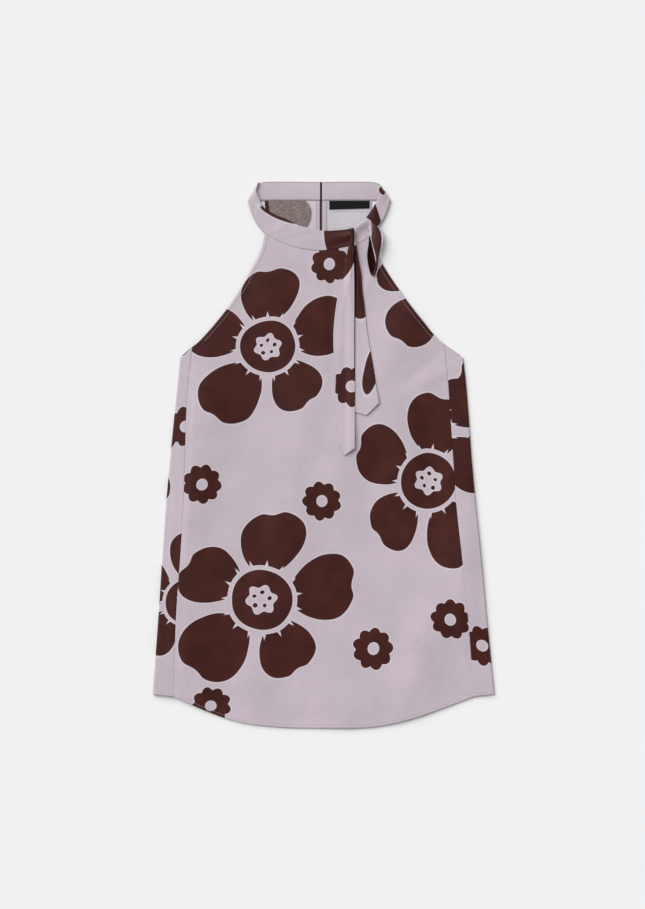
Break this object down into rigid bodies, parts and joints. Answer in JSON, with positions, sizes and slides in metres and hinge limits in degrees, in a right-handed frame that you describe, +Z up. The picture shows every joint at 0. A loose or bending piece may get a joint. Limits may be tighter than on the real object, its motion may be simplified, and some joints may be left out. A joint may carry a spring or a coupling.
{
  "type": "satin halter top laid flat",
  "caption": "Sleeveless halter top of printed satin laid flat, with a banded neck, a side tie, a centre-back opening and a shirt-tail hem.",
  "frame": {"origin": "on the surface that the top lies on, under the middle of its outline", "axes": "+X to the viewer's right, +Y from the hem to the neck, +Z up out of the surface, towards the viewer"},
  "size_m": [0.4617, 0.7385, 0.0082],
  "materials": {
    "printed_satin": "soft satin, pale lilac with large dark brown flowers",
    "dark_satin": "soft satin, the dark brown of the print",
    "woven_label": "matt black woven ribbon, bare"
  },
  "bodies": {
    "root": {"front_panel": "printed_satin", "back_panel": "printed_satin", "neckband_front": "printed_satin", "neckband_back_left": "printed_satin", "neckband_back_right": "printed_satin", "tie_tail_long": "printed_satin", "tie_tail_short": "printed_satin", "tie_knot": "dark_satin", "tie_loop": "dark_satin", "label": "woven_label"}
  },
  "joints": []
}
